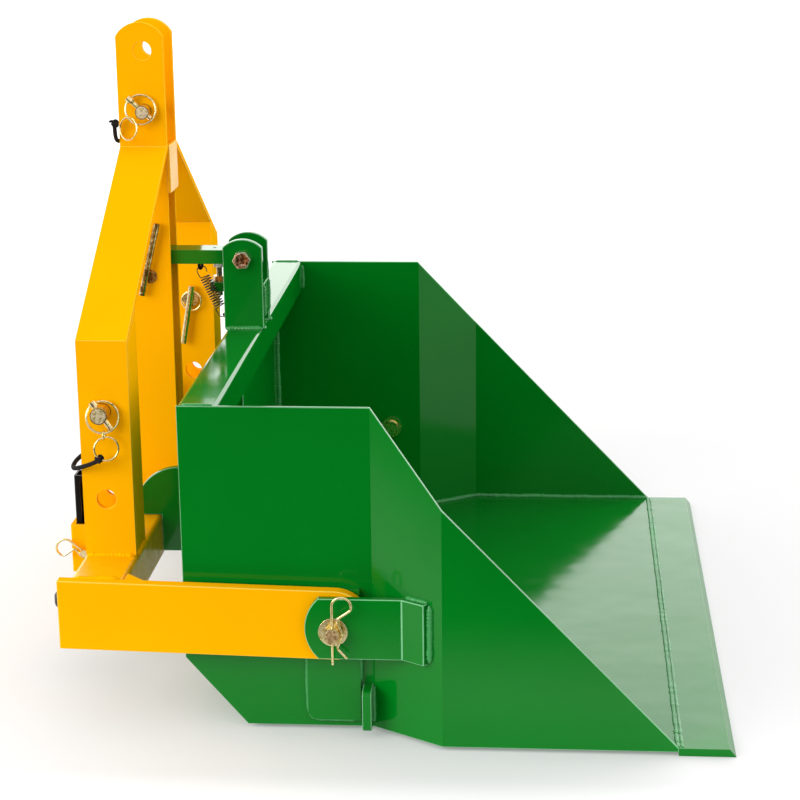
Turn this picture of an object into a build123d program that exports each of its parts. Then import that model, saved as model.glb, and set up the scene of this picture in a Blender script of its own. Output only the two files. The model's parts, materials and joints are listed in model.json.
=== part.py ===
from build123d import *
import math
import os

# Rear tipping bucket for a three-point hitch, in millimetres.
# X points to the mouth, Y to the right-hand side and Z up. The origin is on the middle plane,
# on the floor's underside, straight below the tipping axis. Left is -Y.

# Bucket sheets
mouth_width = 1000.0
flare_drop = 57.5
sheet = 5.0
bucket_height = 423.0
back_reach = 194.0
flare_start = 46.0
flare_run = 91.0
front_run = 293.0
chamfer_run = 78.0
chamfer_rise = 90.0
blade_width = 71.0
blade_thick = 10.0
blade_bevel = 8.0
top_beam_size = 50.0
tube_wall = 4.0
tube_corner = 6.0
stiffener_width = 27.0
stiffener_depth = 12.0

# Tipping pivot
pivot_height = 143.5
pin_drop = 3.0
pivot_pin_radius = 10.0
running_clearance = 0.05
pivot_plate_back = 37.0
pivot_plate_front = 30.5
pivot_plate_thick = 8.0
pivot_plate_low = 12.0
pivot_plate_above = 45.0
pivot_plate_corner = 12.0
side_gap = 1.5
arm_thick = 16.0
arm_end_radius = 45.5
arm_rear_low = 109.0
arm_rear_high = 200.0
arm_overhang = 13.0
strap_height = 80.0
strap_thick = 10.0
strap_back = 36.0
strap_end_radius = 55.0
strap_foot = 36.0
washer_radius = 18.5
washer_thick = 3.0
pin_head_radius = 17.0
pin_head_thick = 5.0
pin_boss_radius = 11.0
pivot_pin_tail = 15.0
lug_near = 34.0
lug_depth = 32.0
lug_low = 5.0
lug_high = 60.0
lug_round = 9.0

# Frame
hitch_reach = 302.0
cross_beam_depth = 70.0
cross_beam_height = 60.0
cross_beam_top = 197.0
bar_width = 66.0
bar_thick = 8.0
post_width = 58.0
post_depth = 60.0
post_wall = 5.0
bend_high = 683.0
bend_low = 485.0
leg_outside = 362.0
leg_width = 62.0
mast_top = 854.0
mast_round = 38.0
hitch_hole_radius = 13.0
top_hole_high = 815.0
top_hole_low = 732.5
top_hole_shift = 3.5
lower_hole_high = 392.0
lower_hole_shift = 2.5
lower_hole_low = 274.0
cover_height = 67.0
cover_thick = 5.0
gusset_leg = 26.0
gusset_thick = 8.0
stop_plate_thick = 10.0
stop_plate_place = 190.0
stop_plate_low = 145.0
stop_plate_high = 266.0
stop_plate_reach = 27.0
stop_plate_nose = 38.0
stop_gap = 0.4

# Latch
ear_width = 56.0
ear_thick = 10.0
ear_gap = 46.0
ear_rise = 128.0
ear_round = 39.0
latch_rise = 100.0
latch_bolt_radius = 8.0
latch_bush_radius = 15.0
bush_side_gap = 0.4
bolt_head_flats = 23.0
bolt_head_turn = 5.0
bolt_head_thick = 10.0
nut_thick = 13.0
latch_bar_height = 20.0
latch_bar_width = 36.0
latch_bar_reach = 153.5
latch_hook_length = 12.0
latch_hook_depth = 9.5
latch_hole_place = 44.0
latch_hole_radius = 2.5
brace_thick = 6.0
brace_low = 14.0
brace_high = 62.0
stop_bolt_place = 40.0
stop_bolt_side = 9.0
stop_bolt_radius = 4.0
stop_bolt_end = 42.0
stop_cap_radius = 8.0
stop_cap_thick = 9.0
stop_bracket_thick = 13.0
stop_bracket_drop = 30.0
stop_bracket_reach = 24.0
stop_bracket_side = 3.0
stop_nut_flats = 17.0
stop_nut_thick = 8.0

# Latch spring
eye_wire_radius = 2.0
latch_eye_radius = 4.0
latch_eye_reach = 63.5
latch_eye_side = 10.5
latch_eye_turn = -25.0
ear_eye_radius = 5.0
ear_eye_inset = 2.0
ear_eye_rise = 17.0
spring_wire_radius = 0.75
spring_coil_radius = 7.5
spring_hook_radius = 7.0
spring_hook_lead = 1.5
spring_hook_sweep = 215.0
spring_turns = 13
spring_seat_gap = 0.5

# Hitch pins, linchpins and lanyards
lower_pin_radius = 11.0
lower_pin_tail = 24.0
lower_linchpin_offset = 12.0
top_pin_radius = 9.5
top_pin_tail = 18.0
top_linchpin_offset = 10.0
hitch_pin_play = 0.5
hitch_flange_radius = 12.5
hitch_flange_thick = 6.0
hitch_pin_gap = 1.0
hitch_ring_radius = 15.2
hitch_ring_wire = 1.5
hitch_ring_forward = 1.9
hitch_ring_drop = 3.2
handle_radius = 5.0
handle_up = 22.0
lower_handle_down = 72.0
top_handle_down = 36.0
handle_lean = 10.0
linchpin_radius = 3.8
linchpin_hole_radius = 4.1
linchpin_head_end = 24.0
linchpin_tip_end = 18.2
lower_linchpin_lean = -33.0
top_linchpin_lean = -47.0
lower_linchpin_push = 5.0
top_linchpin_push = -4.5
linchpin_ring_radius = 20.5
linchpin_wire_radius = 1.5
lower_ring_tilt = 24.0
top_ring_tilt = 18.0
linchpin_head_radius = 5.2
linchpin_head_length = 7.5
lanyard_ring_radius = 15.5
lanyard_wire_radius = 1.2
lower_lanyard_swing = 9.0
lower_lanyard_turn = -20.0
lower_link_drop = 5.5
link_radius = 5.8
link_wire_radius = 1.0
top_link_turn = -50.0
top_link_gap = 0.8
top_link_forward = 2.0
top_lanyard_swing = -16.0
top_lanyard_turn = 32.0
cord_radius = 2.9

# Release lever on the post
lever_below_latch = 26.0
lever_shaft_radius = 10.0
lever_boss_radius = 7.5
lever_boss_thick = 6.0
lever_rod_radius = 4.5
lever_up = 80.0
lever_down = 26.0
lever_lean = 14.0
lever_collar_radius = 13.0
lever_collar_thick = 6.0
lever_rod_back = 5.0

# Parking stands
stand_place = 250.0
sleeve_size = 40.0
sleeve_wall = 6.0
sleeve_corner = 3.0
sleeve_height = 66.0
sleeve_lift = 3.0
stand_gap = 0.5
stand_wall = 3.0
stand_top = 274.0
stand_travel = 90.0
foot_radius = 51.0
foot_thick = 10.0
foot_height = 91.0
stand_pin_radius = 5.0
stand_pin_gap = 0.5
stand_pin_tail = 16.0
stand_pin_head = 9.0
stand_pin_head_thick = 5.0
pin_rise = 31.0

# Spring clips
clip_wire_radius = 1.7
clip_hole_radius = 2.1
clip_side_gap = 1.6
pivot_clip_leg = 40.0
pivot_clip_loop = 24.0
stand_clip_leg = 27.0
stand_clip_loop = 24.0
stand_clip_tail = 19.0
stand_clip_tilt = 38.0

# Places that several pieces share
half_mouth = mouth_width / 2
half_rear = half_mouth - flare_drop
back_x = -back_reach
fold_1 = flare_start
fold_2 = flare_start + flare_run
front_x = fold_2 + front_run
flare_angle = math.atan2(flare_drop, flare_run)
flare_length = math.hypot(flare_run, flare_drop)
slope = (bucket_height - sheet) / (flare_length + front_run)
fold_2_height = bucket_height - slope * flare_length
arm_inner = half_rear + pivot_plate_thick + side_gap
arm_outer = arm_inner + arm_thick
strap_inner = arm_outer + side_gap
strap_outer = strap_inner + strap_thick
hitch_x = -hitch_reach
lower_x = hitch_x - lower_hole_shift
top_x = hitch_x + top_hole_shift
beam_front = hitch_x + cross_beam_depth / 2
beam_back = hitch_x - cross_beam_depth / 2
bar_back = hitch_x - bar_width / 2
bar_front = hitch_x + bar_width / 2
ear_x = back_x + top_beam_size / 2
ear_back = ear_x - ear_width / 2
ear_front = ear_x + ear_width / 2
ear_inner = ear_gap / 2
ear_outer = ear_inner + ear_thick
mast_outer = post_width / 2 + bar_thick
leg_inside = leg_outside - leg_width
ear_top = bucket_height + ear_rise
latch_axis_height = bucket_height + latch_rise
lever_axis_height = latch_axis_height - lever_below_latch
bar_low_face = latch_axis_height - latch_bar_height / 2


def slab(outline, y_low, y_high):
    """Solid from an outline drawn in X and Z, between two places across the width."""
    return extrude(Plane.XZ.offset(-y_low) * outline, amount=y_high - y_low, dir=(0, 1, 0))


def upright(outline, z_low, z_high):
    """Solid from an outline drawn in X and Y, between two heights."""
    return extrude(Plane.XY.offset(z_low) * outline, amount=z_high - z_low, dir=(0, 0, 1))


def along(outline, x_low, x_high):
    """Solid from an outline drawn in Y and Z, between two places along X."""
    return extrude(Plane.YZ.offset(x_low) * outline, amount=x_high - x_low, dir=(1, 0, 0))


def block(x_low, x_high, y_low, y_high, z_low, z_high):
    centre = ((x_low + x_high) / 2, (y_low + y_high) / 2, (z_low + z_high) / 2)
    return Pos(*centre) * Box(x_high - x_low, y_high - y_low, z_high - z_low)


def disc(x, z, radius, y_low, y_high):
    return slab(Pos(x, z) * Circle(radius), y_low, y_high)


def other_side(piece):
    return mirror(piece, about=Plane.XZ)


def thick_line(points, thickness):
    """Closed outline of a bent strip: the line and its copy set off to the left of its travel."""
    normals = []
    for start, end in zip(points, points[1:]):
        length = math.dist(start, end)
        normals.append(((start[1] - end[1]) / length, (end[0] - start[0]) / length))
    sides = [normals[0]] + normals + [normals[-1]]
    inner = []
    for point, before, after in zip(points, sides, sides[1:]):
        share = thickness / (1 + before[0] * after[0] + before[1] * after[1])
        inner.append((point[0] + share * (before[0] + after[0]), point[1] + share * (before[1] + after[1])))
    return inner


def strip(points, thickness):
    return Polygon(*points, *reversed(thick_line(points, thickness)), align=None)


def rounded_top(x_low, x_high, z_low, z_high, radius):
    """Plate outline with straight sides and a shallow round top."""
    half = (x_high - x_low) / 2
    shoulder = z_high - radius + math.sqrt(radius ** 2 - half ** 2)
    middle = (x_low + x_high) / 2
    sides = Polyline((x_low, shoulder), (x_low, z_low), (x_high, z_low), (x_high, shoulder))
    return make_face(sides + ThreePointArc((x_high, shoulder), (middle, z_high), (x_low, shoulder)))


def rod(start, end, radius):
    line = Line(start, end)
    return sweep(Plane(origin=line @ 0, z_dir=line % 0) * Circle(radius), path=line)


def ring(centre, ring_radius, wire_radius, turn):
    """Wire ring whose own axis is turned from Z by the given angles."""
    return Pos(*centre) * Rot(*turn) * Torus(ring_radius, wire_radius)


def tube_on(path, radius):
    return sweep(Plane(origin=path @ 0, z_dir=path % 0) * Circle(radius), path=path)


def spring_clip(centre, x_dir, z_dir, pin_radius, leg, loop, tail):
    """Hairpin clip: its straight leg passes through a pin, its sprung leg lies round it."""
    bulge = pin_radius + clip_side_gap + clip_wire_radius
    points = [
        (0, -tail),
        (0, leg + loop * 0.37),
        (loop, leg + loop * 0.37),
        (loop, leg - loop * 0.3),
        (bulge * 0.42, leg / 2),
        (bulge, 0),
        (bulge * 0.45, -tail * 0.45),
        (bulge * 0.45 + loop / 2, -tail * 0.78),
    ]
    radii = [loop * share for share in (0.46, 0.46, 0.25, 0.2, 0.45, 0.2)]
    path = Plane(origin=centre, x_dir=x_dir, z_dir=z_dir) * FilletPolyline(*points, radius=radii)
    return tube_on(path, clip_wire_radius)


def cord_tube(points, name):
    """Tube along straight runs joined by arcs as large as the runs allow."""
    vectors = [Vector(*point) for point in points]
    radii = []
    for before, corner, after in zip(vectors, vectors[1:], vectors[2:]):
        turn = math.radians((corner - before).get_angle(after - corner))
        shorter = min((corner - before).length, (after - corner).length)
        radii.append(0.45 * shorter / math.tan(turn / 2))
    path = FilletPolyline(*points, radius=radii)
    tube = tube_on(path, cord_radius)
    expected = math.pi * cord_radius ** 2 * path.length
    print(name, "radii", [round(radius, 1) for radius in radii])
    print(name, "length", round(path.length, 1), "volume ratio", round(tube.volume / expected, 4))
    return tube


def hexagon(x, z, flats, turn):
    return Pos(x, z) * RegularPolygon(flats / 2, 6, major_radius=False, rotation=turn)


nodes = {}


def add_pair(name, left):
    nodes[name + "_left"] = left
    nodes[name + "_right"] = other_side(left)


# Bucket sheets: folded sides, shell and blade
side_plan = [(back_x, -half_rear), (fold_1, -half_rear), (fold_2, -half_mouth), (front_x, -half_mouth)]
side_outline = Polygon(
    (back_x + chamfer_run, 0),
    (back_x, chamfer_rise),
    (back_x, bucket_height),
    (fold_1, bucket_height),
    (fold_2, fold_2_height),
    (front_x, sheet),
    (front_x, 0),
    align=None,
)
pin_hole_radius = pivot_pin_radius + running_clearance
pin_end = strap_outer + washer_thick + pivot_pin_tail
pin_hole = disc(0, pivot_height, pin_hole_radius, -pin_end, pin_end)
side_left = upright(strip(side_plan, sheet), 0, bucket_height) & slab(side_outline, -half_mouth, half_mouth)
add_pair("bucket_side", side_left - pin_hole)

inner_left = thick_line(side_plan, sheet)
inner_right = [(x, -y) for x, y in reversed(inner_left)]
inside_plan = Polygon(*inner_left, *inner_right, align=None)
wall_top = bucket_height - top_beam_size
shell_line = [(back_x, wall_top), (back_x, chamfer_rise), (back_x + chamfer_run, 0), (front_x, 0)]
shell = slab(strip(shell_line, sheet), -half_mouth, half_mouth)
nodes["bucket_shell"] = shell & upright(inside_plan, 0, bucket_height)

blade_top = sheet
blade_low = sheet - blade_thick
blade_tip = front_x + blade_width
blade_outline = Polygon(
    (front_x, blade_low),
    (blade_tip, blade_low),
    (blade_tip - blade_bevel, blade_top),
    (front_x, blade_top),
    align=None,
)
nodes["cutting_edge"] = slab(blade_outline, -half_mouth, half_mouth)

inner_half = half_rear - sheet
beam_tube = block(back_x, back_x + top_beam_size, -inner_half, inner_half, wall_top, bucket_height)
beam_bore = block(
    back_x + tube_wall,
    back_x + top_beam_size - tube_wall,
    -inner_half,
    inner_half,
    wall_top + tube_wall,
    bucket_height - tube_wall,
)
beam_tube = fillet(beam_tube.edges().filter_by(Axis.Y), tube_corner)
nodes["top_beam"] = beam_tube - beam_bore

chamfer_lean = math.atan2(chamfer_run, chamfer_rise)
stiffener_low = chamfer_rise + sheet * math.tan(chamfer_lean / 2)
nodes["back_stiffener"] = block(
    back_x + sheet,
    back_x + sheet + stiffener_depth,
    -stiffener_width / 2,
    stiffener_width / 2,
    stiffener_low,
    wall_top,
)

# Tipping pivots: doubling plates, straps, pins, washers, clips and stop lugs
plate_outline = Polygon(
    (-pivot_plate_back, pivot_plate_low),
    (pivot_plate_front, pivot_plate_low),
    (pivot_plate_front, pivot_height + pivot_plate_above),
    (-pivot_plate_back, pivot_height + pivot_plate_above),
    align=None,
)
plate_corner = plate_outline.vertices().sort_by(Axis.Y)[:2].sort_by(Axis.X)[0]
plate_outline = fillet(plate_corner, pivot_plate_corner)
pivot_plate = slab(plate_outline, -half_rear - pivot_plate_thick, -half_rear)
add_pair("pivot_plate", pivot_plate - pin_hole)

# The strap runs straight past the arm and its foot lies along the flared sheet.
strap_meet = fold_1 + (strap_inner - half_rear) * flare_run / flare_drop
foot_x = strap_meet + strap_foot * math.cos(flare_angle)
foot_y = -strap_inner - strap_foot * math.sin(flare_angle)
strap_line = [(foot_x, foot_y), (strap_meet, -strap_inner), (-strap_back, -strap_inner)]
bar_middle = pivot_height + pin_drop
strap_low = bar_middle - strap_height / 2
strap_high = bar_middle + strap_height / 2
strap_shoulder = strap_end_radius - math.sqrt(strap_end_radius ** 2 - (strap_height / 2) ** 2) - strap_back
strap_face = make_face(
    Polyline(
        (strap_shoulder, strap_low),
        (front_x, strap_low),
        (front_x, strap_high),
        (strap_shoulder, strap_high),
    )
    + ThreePointArc((strap_shoulder, strap_high), (-strap_back, bar_middle), (strap_shoulder, strap_low))
)
strap = upright(strip(strap_line, strap_thick), strap_low, strap_high)
strap = strap & slab(strap_face, -half_mouth - strap_thick - strap_foot, -half_rear)
add_pair("strap", strap - pin_hole)

clip_y = strap_outer + washer_thick + pivot_pin_tail / 2
pivot_pin = disc(0, pivot_height, pivot_pin_radius, -pin_end, -inner_half)
pivot_pin += disc(0, pivot_height, pin_head_radius, -inner_half, -inner_half + pin_head_thick)
boss_end = -inner_half + 2 * pin_head_thick
pivot_pin += disc(0, pivot_height, pin_boss_radius, -inner_half + pin_head_thick, boss_end)
clip_hole = Pos(0, -clip_y, pivot_height) * Cylinder(clip_hole_radius, 4 * pivot_pin_radius)
add_pair("pivot_pin", pivot_pin - clip_hole)
washer = disc(0, pivot_height, washer_radius, -strap_outer - washer_thick, -strap_outer) - pin_hole
nodes["pivot_washers"] = washer + other_side(washer)
clip_place = (0, -clip_y, pivot_height)
pivot_clip = spring_clip(
    clip_place,
    (1, 0, 0),
    (0, -1, 0),
    pivot_pin_radius,
    pivot_clip_leg,
    pivot_clip_loop,
    pivot_clip_leg,
)
add_pair("pivot_clip", pivot_clip)

lug = block(lug_near, fold_1, -half_rear - lug_depth, -half_rear, lug_low, lug_high)
lug_edges = lug.edges().filter_by(Axis.X).group_by(Axis.Y)[0]
add_pair("tip_lug", fillet(lug_edges, lug_round))

# Latch ears on the top beam with their brace
ear_outline = rounded_top(ear_back, ear_front, bucket_height, ear_top, ear_round)
latch_bolt_hole = disc(ear_x, latch_axis_height, latch_bolt_radius + running_clearance, -half_rear, half_rear)
ear_left = slab(ear_outline, -ear_outer, -ear_inner) - latch_bolt_hole
add_pair("latch_ear", ear_left)
nodes["ear_brace"] = block(
    ear_front - brace_thick,
    ear_front,
    -ear_inner,
    ear_inner,
    bucket_height + brace_low,
    bucket_height + brace_high,
)
bolt_end = ear_outer + nut_thick + latch_bolt_radius / 2
bolt_shank = disc(ear_x, latch_axis_height, latch_bolt_radius, -ear_outer, bolt_end)
bolt_hexagon = hexagon(ear_x, latch_axis_height, bolt_head_flats, bolt_head_turn)
bolt_head = slab(bolt_hexagon, -ear_outer - bolt_head_thick, -ear_outer)
nodes["latch_bolt"] = bolt_shank + bolt_head
latch_nut = slab(bolt_hexagon, ear_outer, ear_outer + nut_thick)
nodes["latch_nut"] = latch_nut - latch_bolt_hole

# Latch bar: bush on the bolt, bar into the post and a hook over the lever's shaft
bush_half = ear_inner - bush_side_gap
bar_back_end = ear_x - latch_bar_reach
hook_front = bar_back_end + latch_hook_length
bar_side = latch_bar_width / 2
latch_bar = block(bar_back_end, ear_x, -bar_side, bar_side, bar_low_face, bar_low_face + latch_bar_height)
hook_low = bar_low_face - latch_hook_depth
latch_bar += block(bar_back_end, hook_front, -bar_side, bar_side, hook_low, bar_low_face)
latch_bar += disc(ear_x, latch_axis_height, latch_bush_radius, -bush_half, bush_half)
latch_bar -= latch_bolt_hole
hole_x = ear_x - latch_hole_place
latch_bar -= Pos(hole_x, 0, latch_axis_height) * Cylinder(latch_hole_radius, 2 * latch_bar_height)
nodes["latch_bar"] = latch_bar

# Adjustable stop under the latch bar
stop_x = ear_x - stop_bolt_place
bracket_top = bar_low_face - stop_bracket_drop
bracket_low = bracket_top - stop_bracket_thick
bracket_back = ear_back - stop_bracket_reach
bracket = block(bracket_back, ear_back, -stop_bracket_side, ear_inner, bracket_low, bracket_top)
bracket += block(ear_back, ear_x, -ear_inner, ear_inner, bracket_low, bracket_top)
stop_hole = Pos(stop_x, stop_bolt_side, bracket_low) * Cylinder(stop_bolt_radius, 4 * stop_bracket_thick)
nodes["stop_bracket"] = bracket - stop_hole
cap_top = bar_low_face
cap_low = cap_top - stop_cap_thick
stop_end = cap_low - stop_bolt_end
nodes["stop_bolt"] = upright(Pos(stop_x, stop_bolt_side) * Circle(stop_bolt_radius), stop_end, cap_low)
stop_nut = RegularPolygon(stop_nut_flats / 2, 6, major_radius=False) - Circle(stop_bolt_radius)
stop_nut = Pos(stop_x, stop_bolt_side) * stop_nut
nodes["stop_nut"] = upright(stop_nut, bracket_top, bracket_top + stop_nut_thick)
stop_cap = upright(Pos(stop_x, stop_bolt_side) * Circle(stop_cap_radius), cap_low, cap_top)
nodes["stop_cap"] = fillet(stop_cap.edges().group_by(Axis.Z)[-1], stop_cap_thick / 4)

# Eyes for the latch spring: one under the bar, one inside the left ear at its back edge
latch_eye_outer = latch_eye_radius + eye_wire_radius
latch_eye_x = ear_x - latch_eye_reach
latch_eye_y = -latch_eye_side
latch_eye_z = bar_low_face - latch_eye_radius
latch_eye_place = (latch_eye_x, latch_eye_y, latch_eye_z)
latch_eye = ring(latch_eye_place, latch_eye_radius, eye_wire_radius, (-90, 90 - latch_eye_turn, 0))
above_eye = block(
    latch_eye_x - latch_eye_outer,
    latch_eye_x + latch_eye_outer,
    latch_eye_y - latch_eye_outer,
    latch_eye_y + latch_eye_outer,
    bar_low_face,
    bar_low_face + latch_eye_outer,
)
nodes["latch_eye"] = latch_eye - above_eye
ear_eye_x = ear_back + ear_eye_inset
ear_eye_y = -ear_inner + ear_eye_radius
ear_eye_z = bucket_height + ear_eye_rise
ear_eye = ring((ear_eye_x, ear_eye_y, ear_eye_z), ear_eye_radius, eye_wire_radius, (0, 0, 0))
nodes["spring_eye"] = ear_eye - block(ear_back, ear_front, -ear_outer, -ear_inner, bucket_height, ear_top)


def biarc(start, start_tangent, end, end_tangent):
    """Two arcs that leave the start and reach the end along the given directions."""
    chord = end - start
    total = start_tangent + end_tangent
    fold = 2 * (1 - start_tangent.dot(end_tangent))
    reach = chord.dot(total)
    length = (-reach + math.sqrt(reach ** 2 + fold * chord.dot(chord))) / fold
    first = start + start_tangent * length
    second = end - end_tangent * length
    middle = (first + second) * 0.5
    return [
        TangentArc(start, middle, tangent=start_tangent),
        TangentArc(middle, end, tangent=(second - first).normalized()),
    ]


def latch_spring():
    """Extension spring: close coil with a round hook at each end, one unbroken wire."""
    seat = eye_wire_radius + spring_wire_radius + spring_seat_gap
    upper_seat = Vector(latch_eye_x, latch_eye_y, latch_eye_z - latch_eye_radius)
    lower_seat = Vector(ear_eye_x - ear_eye_radius, ear_eye_y, ear_eye_z)
    axis = (lower_seat - upper_seat).normalized()
    upper_end = upper_seat - axis * seat
    lower_end = lower_seat + axis * seat
    side = Vector(0, 1, 0).cross(axis).normalized()
    cross = axis.cross(side)
    hook = spring_hook_radius
    upper_centre = upper_end + axis * hook
    lower_centre = lower_end - axis * hook
    coil_start = upper_centre + axis * (hook + spring_hook_lead)
    coil_end = lower_centre - axis * (hook + spring_hook_lead)
    coil_length = (coil_end - coil_start).length
    rise = coil_length / (2 * math.pi * spring_turns)
    places = []
    for share in (1.0, 0.5, 0.0):
        angle = math.radians(spring_hook_sweep * share)
        point = upper_centre + (side * math.cos(angle) - axis * math.sin(angle)) * hook
        places.append((point, side * math.sin(angle) + axis * math.cos(angle)))
    for half in range(2 * spring_turns + 1):
        angle = math.pi * half
        out = side * math.cos(angle) + cross * math.sin(angle)
        turn = cross * math.cos(angle) - side * math.sin(angle)
        point = coil_start + axis * (rise * angle) + out * spring_coil_radius
        places.append((point, (turn * spring_coil_radius + axis * rise).normalized()))
    for share in (0.0, 0.5, 1.0):
        angle = math.radians(spring_hook_sweep * share)
        point = lower_centre + (side * math.cos(angle) + axis * math.sin(angle)) * hook
        places.append((point, axis * math.cos(angle) - side * math.sin(angle)))
    arcs = []
    for (start, start_tangent), (end, end_tangent) in zip(places, places[1:]):
        arcs += biarc(start, start_tangent, end, end_tangent)
    wire = Wire(arcs)
    samples = [arc @ (step / 6) for arc in arcs for step in range(6)]
    apart = 14
    least = min(
        (first - second).length
        for index, first in enumerate(samples)
        for second in samples[index + apart:]
    )
    print("latch_spring least gap", round(least - 2 * spring_wire_radius, 2))
    return tube_on(wire, spring_wire_radius)


nodes["latch_spring"] = latch_spring()

# Frame: cross beam, arms, gussets, mast bars, legs and post
beam_low = cross_beam_top - cross_beam_height
cross_beam = block(beam_back, beam_front, -arm_inner, arm_inner, beam_low, cross_beam_top)
cross_bore = block(
    beam_back + tube_wall,
    beam_front - tube_wall,
    -arm_inner,
    arm_inner,
    beam_low + tube_wall,
    cross_beam_top - tube_wall,
)
cross_beam = fillet(cross_beam.edges().filter_by(Axis.Y), tube_corner)
nodes["cross_beam"] = cross_beam - cross_bore

arm_back = beam_back - arm_overhang
arm_end = (0, bar_middle)


def tangent_spot(corner, side):
    """Where a straight edge from the corner meets the arm's round end."""
    run = (arm_end[0] - corner[0], arm_end[1] - corner[1])
    distance = math.hypot(*run)
    bearing = math.atan2(run[1], run[0]) + side * math.asin(arm_end_radius / distance)
    length = math.sqrt(distance ** 2 - arm_end_radius ** 2)
    return (corner[0] + length * math.cos(bearing), corner[1] + length * math.sin(bearing))


arm_high = (arm_back, arm_rear_high)
arm_low = (arm_back, arm_rear_low)
arm_top_end = tangent_spot(arm_high, 1)
arm_low_end = tangent_spot(arm_low, -1)
arm_outline = make_face(
    Polyline(arm_top_end, arm_high, arm_low, arm_low_end)
    + ThreePointArc(arm_low_end, (arm_end_radius, bar_middle), arm_top_end)
)
add_pair("arm", slab(arm_outline, -arm_outer, -arm_inner) - pin_hole)

gusset_plan = Polygon(
    (beam_front, -arm_inner),
    (beam_front + gusset_leg, -arm_inner),
    (beam_front, -arm_inner + gusset_leg),
    align=None,
)
gusset = upright(gusset_plan, cross_beam_top - gusset_thick, cross_beam_top)
nodes["beam_gussets"] = gusset + other_side(gusset)

bar_line = [
    (-mast_outer, mast_top),
    (-mast_outer, bend_high),
    (-leg_outside, bend_low),
    (-leg_outside, cross_beam_top),
]
bar_face = rounded_top(bar_back, bar_front, cross_beam_top, mast_top, mast_round)
mast_bar = along(strip(bar_line, bar_thick), bar_back, bar_front) & slab(bar_face, -leg_outside, 0)
mast_bar -= disc(top_x, top_hole_high, hitch_hole_radius, -mast_outer, mast_outer)
mast_bar -= disc(top_x, top_hole_low, top_pin_radius + hitch_pin_play, -mast_outer, mast_outer)
leg_holes = disc(lower_x, lower_hole_low, hitch_hole_radius, -leg_outside, -leg_inside)
leg_holes += disc(lower_x, lower_hole_high, lower_pin_radius + hitch_pin_play, -leg_outside, -leg_inside)
mast_bar -= leg_holes
add_pair("mast_bar", mast_bar)

leg_plan = Polygon(
    (bar_front, -leg_outside + bar_thick),
    (bar_front, -leg_inside),
    (bar_back, -leg_inside),
    (bar_back, -leg_inside - bar_thick),
    (bar_front - bar_thick, -leg_inside - bar_thick),
    (bar_front - bar_thick, -leg_outside + bar_thick),
    align=None,
)
under_bar = thick_line(bar_line, bar_thick)
above_slant = Polygon(
    under_bar[1],
    under_bar[2],
    (-leg_outside, under_bar[2][1]),
    (-leg_outside, bend_high),
    align=None,
)
leg_angle = upright(leg_plan, cross_beam_top, bend_low + leg_width)
leg_angle -= along(above_slant, bar_back, bar_front)
leg_angle -= leg_holes
add_pair("leg_angle", leg_angle)

post_back = hitch_x - post_depth / 2
post_front = hitch_x + post_depth / 2
post_half = post_width / 2
post = block(post_back, post_front, -post_half, post_half, cross_beam_top, bend_high)
post -= block(
    post_back + post_wall,
    post_front,
    -post_half + post_wall,
    post_half - post_wall,
    cross_beam_top,
    bend_high,
)
lever_hole = disc(hitch_x, lever_axis_height, lever_shaft_radius + running_clearance, -post_half, post_half)
nodes["centre_post"] = post - lever_hole
nodes["post_cover"] = block(
    post_front,
    post_front + cover_thick,
    -post_half,
    post_half,
    bend_high - cover_height,
    bend_high,
)

# Plates on the bucket's back that rest on the cross beam
stop_front = beam_front + stop_gap
stop_rest = cross_beam_top + stop_gap
stop_nose = beam_front - stop_plate_reach
stop_line = Polyline(
    (stop_nose, stop_rest + stop_plate_nose),
    (stop_nose, stop_rest),
    (stop_front, stop_rest),
    (stop_front, stop_plate_low),
    (back_x, stop_plate_low),
    (back_x, stop_plate_high),
    (stop_front + stop_plate_reach, stop_plate_high),
)
stop_arc = ThreePointArc(
    (stop_front + stop_plate_reach, stop_plate_high),
    (stop_front - stop_plate_reach / 4, stop_plate_high - stop_plate_nose / 4),
    (stop_nose, stop_rest + stop_plate_nose),
)
stop_face = make_face(stop_line + stop_arc)
stop_left = -stop_plate_place
add_pair("stop_plate", slab(stop_face, stop_left - stop_plate_thick / 2, stop_left + stop_plate_thick / 2))


# Hitch pins with their linchpins: the shank runs from the tail, past the walls, to a flanged head
def hitch_pin(
    pin_x,
    height,
    outer_face,
    inner_face,
    radius,
    tail_length,
    linchpin_offset,
    handle_down,
    linchpin_lean,
):
    """Hitch pin with a flange, a handle and a wire ring inside, and a linchpin hole near the outer end."""
    tail = outer_face - tail_length
    head = inner_face + hitch_pin_gap
    pin = disc(pin_x, height, radius, tail, head)
    pin += disc(pin_x, height, hitch_flange_radius, head, head + hitch_flange_thick)
    lean = math.radians(handle_lean)
    handle_y = head + hitch_flange_thick + handle_radius * 0.8
    top = (pin_x + handle_up * math.sin(lean), handle_y, height + handle_up * math.cos(lean))
    foot = (pin_x - handle_down * math.sin(lean), handle_y, height - handle_down * math.cos(lean))
    pin += rod(top, foot, handle_radius)
    ring_y = handle_y - handle_radius * 0.6
    ring_place = (pin_x + hitch_ring_forward, ring_y, height - hitch_ring_drop)
    pin += ring(ring_place, hitch_ring_radius, hitch_ring_wire, (90, 0, 0))
    place = Pos(pin_x, outer_face - linchpin_offset, height)
    return pin - place * Rot(0, linchpin_lean, 0) * Cylinder(linchpin_hole_radius, 4 * radius)


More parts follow.
